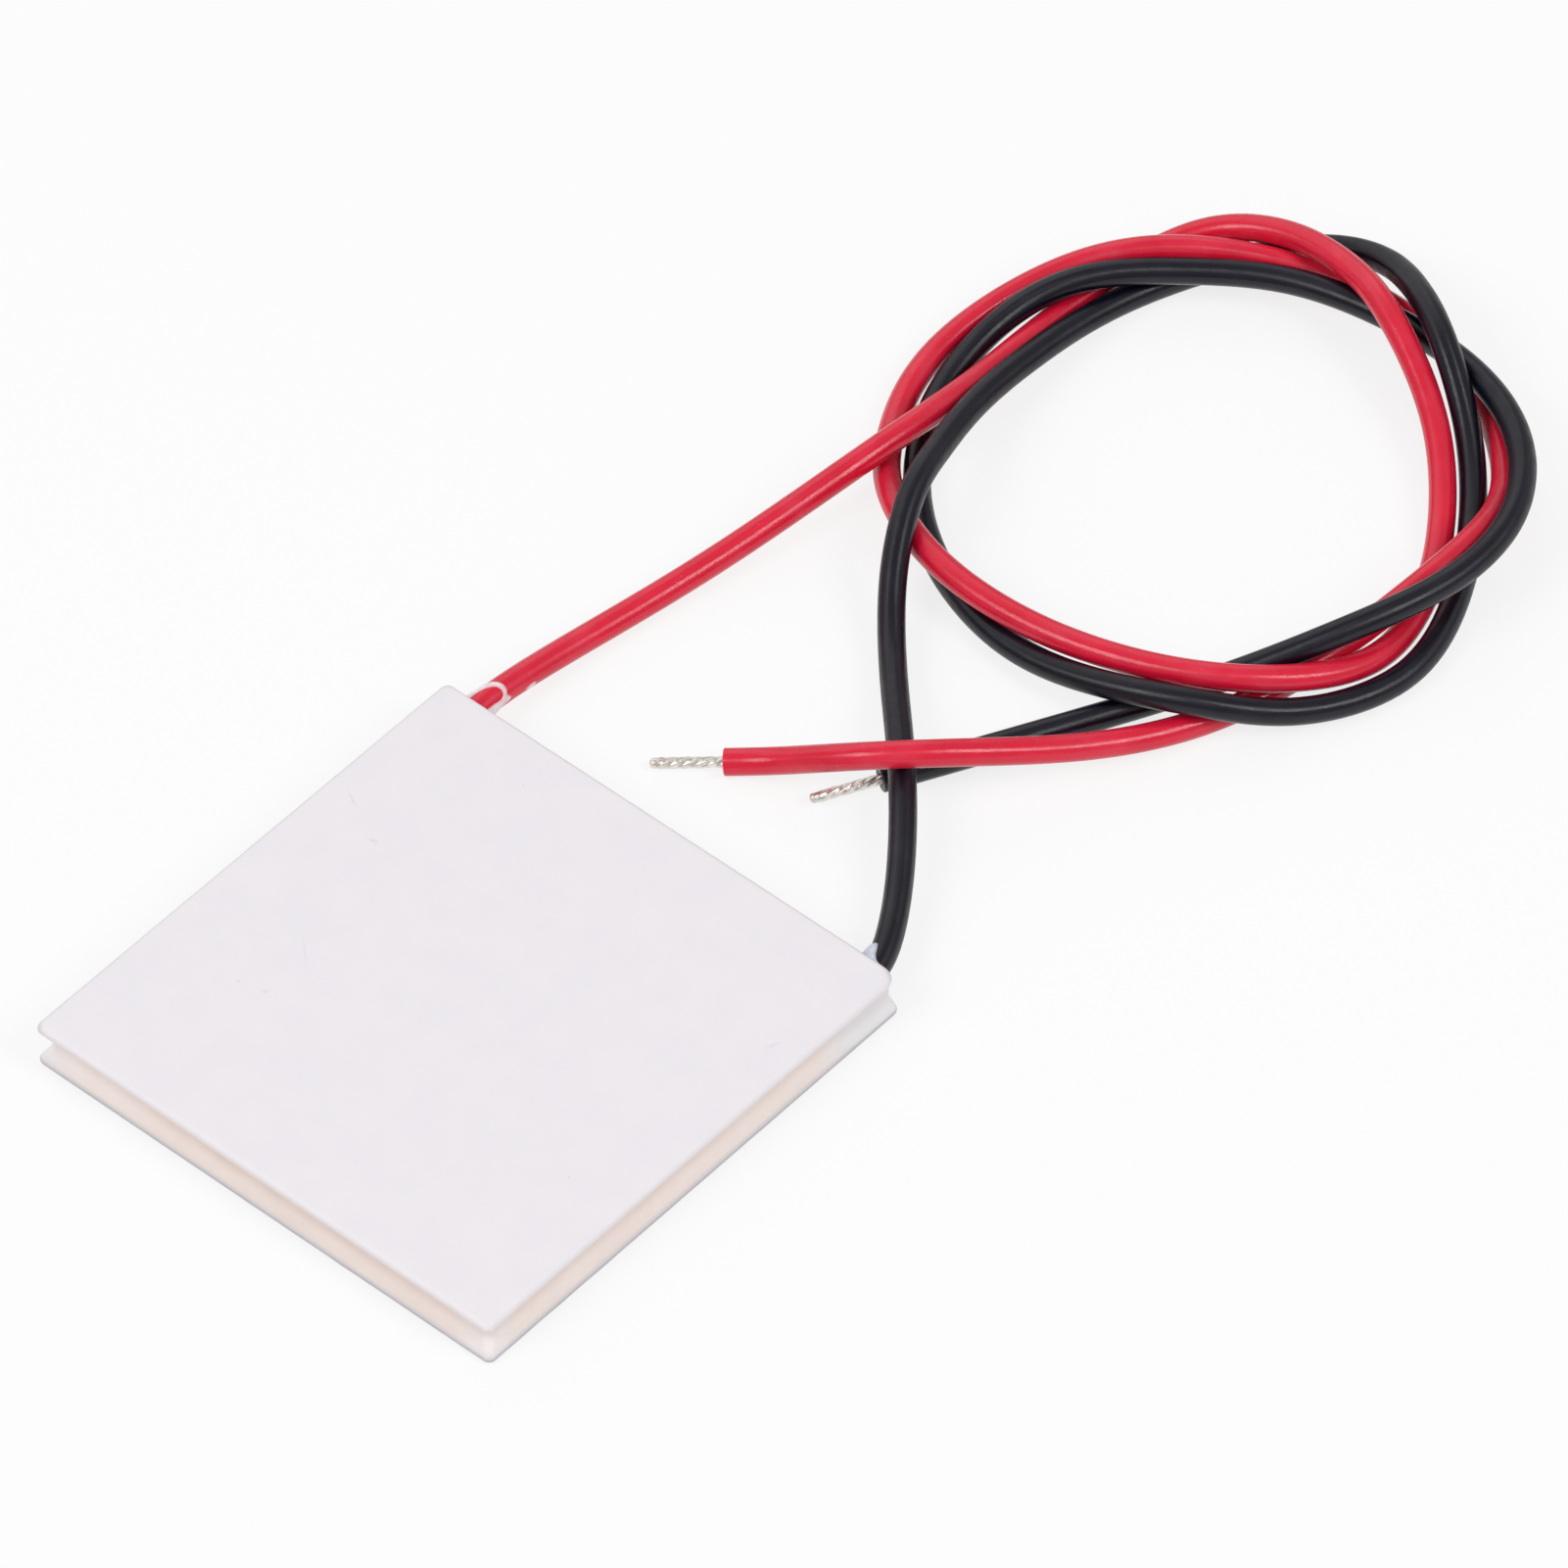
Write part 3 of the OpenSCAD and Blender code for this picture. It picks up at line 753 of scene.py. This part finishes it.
def ceramicFinish(name, film, marks):
    c = ceramic
    f = Finish(name, c["cool"], 0.55)
    cloudy = f.blend(f.spread(f.grain(c["cloudSize"], 4), 0, 0.7, 0.38, 0.62), c["cool"], c["warm"])
    fine = f.blend(f.spread(f.grain(c["fleckSize"], 2), 0, 0.22), cloudy, c["fleck"])
    # on the upper plate the film tone also holds painted shading and warm bounce light
    patchy = f.sums("MULTIPLY", f.mark("haze"), f.spread(f.grain(c["filmSize"], 3), 0.8, 1.0))
    # painted shadow and painted dark reflection, mixed in by the "shade" mark
    color = f.blend(f.mark("paintedShade"), f.blend(patchy, fine, film), c["paintedShade"])
    dots = f.sums("MULTIPLY", f.specks(*c["dots"]), c["dotStrength"])
    for x, y, z, halfLong, halfWide, angle, strength in marks:
        spot = f.tree.nodes.new("ShaderNodeMapping")
        spot.vector_type = "TEXTURE"
        spot.inputs["Location"].default_value = (x * mm, y * mm, z * mm)
        spot.inputs["Rotation"].default_value = (0, 0, math.radians(angle))
        spot.inputs["Scale"].default_value = (halfLong * mm, halfWide * mm, c["markDepth"] * mm)
        f.join(f.place, spot.inputs["Vector"])
        away = f.tree.nodes.new("ShaderNodeVectorMath")
        away.operation = "LENGTH"
        f.join(spot.outputs["Vector"], away.inputs[0])
        ragged = f.sums("ADD", away.outputs["Value"], f.spread(f.grain(c["raggedSize"], 2), -0.5, 0.5))
        dots = f.sums("MAXIMUM", dots, f.spread(ragged, strength, 0, 0.3, 1.2))
    f.paint(f.blend(dots, color, c["markTone"]))
    f.gloss(f.spread(f.grain(c["glossSize"], 3), *c["roughness"]))
    f.relief(f.sums("ADD", f.grain(c["poreSize"], 3), f.grain(c["waveSize"], 2)), c["relief"])
    return f


sealFinish = {
    "peach": tone(234, 210, 197), "cream": tone(248, 236, 230), "rose": tone(245, 231, 226),
    # the darkest tone here is that of the painted shadow under the upper plate
    "white": tone(238, 236, 238), "dustAndShade": tone(196, 182, 180), "roughness": (0.4, 0.55),
    "cloudSize": 2.6, "warmSize": 4.5, "glossSize": 0.5, "grainSize": 0.35, "waveSize": 1.8, "relief": 0.03,
    "glow": 0.4,  # mm that light goes in
}


def edgeSiliconeFinish():
    s = sealFinish
    f = Finish("edgeSilicone", s["cream"], 0.42, Subsurface_Weight=0.15,
               Subsurface_Radius=(s["glow"] * mm,) * 3, Subsurface_Scale=1.0)
    cloudy = f.blend(f.spread(f.grain(s["cloudSize"], 3), 0, 1), s["cream"], s["rose"])
    warmShare = f.sums("MULTIPLY", f.mark("warm"), f.spread(f.grain(s["warmSize"], 2), 0.5, 1.0))
    warm = f.blend(warmShare, cloudy, s["peach"])
    mended = f.blend(f.mark("fresh"), warm, s["white"])
    # painted shadow under the upper plate, from the "deep" mark
    f.paint(f.blend(f.mark("deep"), mended, s["dustAndShade"]))
    f.gloss(f.spread(f.grain(s["glossSize"], 3), *s["roughness"]))
    f.relief(f.sums("ADD", f.grain(s["grainSize"], 3), f.grain(s["waveSize"], 2)), s["relief"])
    return f


exitFinish = {
    "onRed": tone(238, 238, 243), "thinOnRed": tone(232, 176, 182),
    "onBlack": tone(212, 218, 232), "thinOnBlack": tone(168, 176, 192),
    "fullFilm": 0.12,  # mm at which it no longer shows the lead
    "roughness": (0.28, 0.45), "patchSize": 0.4, "grainSize": 0.3, "relief": 0.012,
    "glow": 0.3,       # mm that light goes in
}


def exitSiliconeFinish(name, thin, full):
    e = exitFinish
    f = Finish(name, full, 0.35, Subsurface_Weight=0.1,
               Subsurface_Radius=(e["glow"] * mm,) * 3, Subsurface_Scale=1.0)
    patchy = f.sums("MULTIPLY", f.mark("film"), f.spread(f.grain(e["patchSize"], 3), 0.6, 1.5))
    f.paint(f.blend(f.spread(patchy, 0, 1, 0.0, e["fullFilm"]), thin, full))
    f.gloss(f.spread(f.grain(e["grainSize"], 3), *e["roughness"]))
    f.relief(f.grain(e["grainSize"], 3), e["relief"])
    return f


insulation = {
    "red": {"main": tone(228, 28, 62), "deep": tone(211, 17, 50), "dustAndShade": tone(242, 96, 118),
            "roughness": (0.2, 0.28), "shine": 0.5},
    "black": {"main": tone(14, 13, 30), "deep": tone(9, 8, 20), "dustAndShade": tone(52, 51, 66),
              "roughness": (0.28, 0.38), "shine": 0.42},
    "streak": 0.85,  # how far the gloss is drawn out along the lead
    "dieSize": 0.35, "dieStretch": (0.03, 1, 1), "dieShare": 0.6,  # lines left by the die
    "cloudSize": 2.5, "glossSize": 0.9, "grainSize": 0.3, "relief": 0.011,
    "filmSize": 1.4, "filmStretch": (0.4, 1, 1),
    "dots": (0.6, 0.06, 0.2), "dotStrength": 0.7,  # mm apart, radius, share of places that have one
}


def insulationFinish(name, color):
    i, main, deep = insulation, color["main"], color["deep"]
    f = Finish(name, main, 0.36, Specular_IOR_Level=color["shine"], Anisotropic=i["streak"])
    f.join(f.mark("wayAlong", "Vector"), f.shader.inputs["Tangent"])
    lay = f.mark("layPlace", "Vector")
    drawn = f.grain(i["dieSize"], 2, f.moved(i["dieStretch"], lay))
    cloudy = f.blend(f.spread(f.grain(i["cloudSize"], 3, lay), 0, 0.8), main, deep)
    lined = f.blend(f.spread(drawn, 0, 0.6), cloudy, deep)
    dustAndShadeShare = f.sums("MULTIPLY", f.specks(*i["dots"], lay), i["dotStrength"])
    film = f.spread(f.grain(i["filmSize"], 4, f.moved(i["filmStretch"], lay)), 0, 0.18, 0.5, 0.75)
    f.paint(f.blend(f.sums("MAXIMUM", dustAndShadeShare, film), lined, color["dustAndShade"]))
    f.gloss(f.spread(f.grain(i["glossSize"], 3, lay), *color["roughness"]))
    dieLines = f.sums("MULTIPLY", drawn, i["dieShare"])
    f.relief(f.sums("ADD", dieLines, f.grain(i["grainSize"], 3, lay)), i["relief"])
    return f


def metalFinish(name, main, dull, roughness, size, lines=(1, 1, 1)):
    f = Finish(name, main, sum(roughness) / 2, Metallic=1.0)
    f.paint(f.blend(f.spread(f.grain(size * 3, 4), 0, 1), main, dull))
    f.gloss(f.spread(f.grain(size, 3), *roughness))
    f.relief(f.grain(size * 0.5, 3, f.moved(lines)), size * 0.06)
    return f


crystal = {"size": 0.22, "stretch": (1, 1, 0.45), "grainSize": 0.05, "relief": 0.012}


def crystalFinish(name, main, facet, roughness):
    # cast semiconductor: bright flat crystals in a grey body
    f = Finish(name, main, sum(roughness) / 2, Metallic=0.7)
    chances = f.cells(crystal["size"], f.moved(crystal["stretch"]))[1]
    f.paint(f.blend(chances[0], main, facet))
    f.gloss(f.spread(chances[1], *roughness, 0, 1))
    f.relief(f.sums("ADD", chances[2], f.grain(crystal["grainSize"], 2)), crystal["relief"])
    return f


tinFinish = metalFinish("tin", tone(246, 243, 238), tone(214, 208, 200), (0.28, 0.46), 0.3)
copperFinish = metalFinish("copperTab", tone(214, 140, 104), tone(168, 98, 68), (0.28, 0.46), 0.4,
                           lines=(1, 0.2, 1))
solderFinish = metalFinish("solderFilm", tone(186, 188, 192), tone(150, 152, 158), (0.25, 0.45), 0.2)
nodeFinishes = {
    "lower_tabs": copperFinish, "upper_tabs": copperFinish,
    "red_terminal_tab": copperFinish, "black_terminal_tab": copperFinish,
    "lower_solder": solderFinish, "upper_solder": solderFinish,
    "red_lead_solder": solderFinish, "black_lead_solder": solderFinish,
    "red_lead_core": tinFinish, "black_lead_core": tinFinish,
    "n_type_legs": crystalFinish("nTypeCrystal", tone(116, 118, 124), tone(158, 160, 166), (0.25, 0.5)),
    "p_type_legs": crystalFinish("pTypeCrystal", tone(98, 100, 112), tone(140, 144, 156), (0.28, 0.55)),
}

dress(upperPlate, ceramicFinish("upperCeramic", ceramic["upperFilmAndShade"], ceramic["upperMarks"]))
dress(lowerPlate, ceramicFinish("lowerCeramic", ceramic["lowerFilm"], ceramic["lowerMarks"]))
dress(edgeSeal, edgeSiliconeFinish())
dress(redExit, exitSiliconeFinish("siliconeOnRed", exitFinish["thinOnRed"], exitFinish["onRed"]))
dress(blackExit, exitSiliconeFinish("siliconeOnBlack", exitFinish["thinOnBlack"], exitFinish["onBlack"]))
dress(redLead, insulationFinish("redInsulation", insulation["red"]))
dress(blackLead, insulationFinish("blackInsulation", insulation["black"]))
dress(redTin, tinFinish)
dress(blackTin, tinFinish)
for nodeName, finish in nodeFinishes.items():
    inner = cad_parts[nodeName]
    for slot in inner.material_slots:
        slot.material = finish.material
print("finishes set")


# white paper floor, a softbox on each side of the camera, and a wide panel behind on the left
stage = {
    "size": 12.0, "color": (0.88, 0.88, 0.88), "roughness": 0.9,
    "drop": 0.02,   # mm that the floor lies below the part
    "whiten": 0.8,  # share of plain white in the view of the floor
    "ambient": 0.45,
    "target": (0, 20, 0),  # mm, where the lamps point
}
lamps = [
    {"name": "leftSoftbox", "turn": (-17, 45), "away": 1.1, "size": (0.5, 0.5), "watts": 4.2},
    {"name": "rightSoftbox", "turn": (100, 45), "away": 1.1, "size": (0.3, 0.5), "watts": 4.2},
    {"name": "backPanel", "turn": (-112, 38), "away": 1.3, "size": (1.6, 1.0), "watts": 3.4},
]


def makeFloor():
    half = stage["size"] / 2
    mesh = bpy.data.meshes.new("floor")
    corners = [(-half, -half, 0), (half, -half, 0), (half, half, 0), (-half, half, 0)]
    mesh.from_pydata(corners, [], [(0, 1, 2, 3)])
    floor = bpy.data.objects.new("floor", mesh)
    floor.location.z = -stage["drop"] * mm
    scene.collection.objects.link(floor)
    paper = Finish("paper", stage["color"], stage["roughness"])
    seen = paper.tree.nodes.new("ShaderNodeLightPath").outputs
    looks = paper.sums("ADD", paper.sums("ADD", seen["Is Camera Ray"], seen["Is Glossy Ray"]),
                       seen["Is Transmission Ray"])
    share = paper.sums("MULTIPLY", paper.sums("MINIMUM", looks, 1.0), stage["whiten"])
    white = paper.tree.nodes.new("ShaderNodeEmission")
    both = paper.tree.nodes.new("ShaderNodeMixShader")
    paper.join(share, both.inputs[0])
    paper.join(paper.shader.outputs[0], both.inputs[1])
    paper.join(white.outputs[0], both.inputs[2])
    paper.join(both.outputs[0], paper.tree.nodes["Material Output"].inputs["Surface"])
    mesh.materials.append(paper.material)


def makeLight():
    world = bpy.data.worlds.new("studio")
    scene.world = world
    world.use_nodes = True
    air = world.node_tree.nodes["Background"]
    air.inputs["Color"].default_value = (1, 1, 1, 1)
    air.inputs["Strength"].default_value = stage["ambient"]
    target = Vector(stage["target"]) * mm
    for lamp in lamps:
        data = bpy.data.lights.new(lamp["name"], "AREA")
        data.shape = "RECTANGLE"
        data.size, data.size_y = lamp["size"]
        data.energy = lamp["watts"]
        turn, rise = (math.radians(a) for a in lamp["turn"])
        back = Vector((math.sin(turn) * math.cos(rise), -math.cos(turn) * math.cos(rise), math.sin(rise)))
        box = bpy.data.objects.new(lamp["name"], data)
        box.location = target + back * lamp["away"]
        box.rotation_euler = (-back).to_track_quat("-Z", "Y").to_euler()
        scene.collection.objects.link(box)


makeFloor()
makeLight()
print("floor and light set")
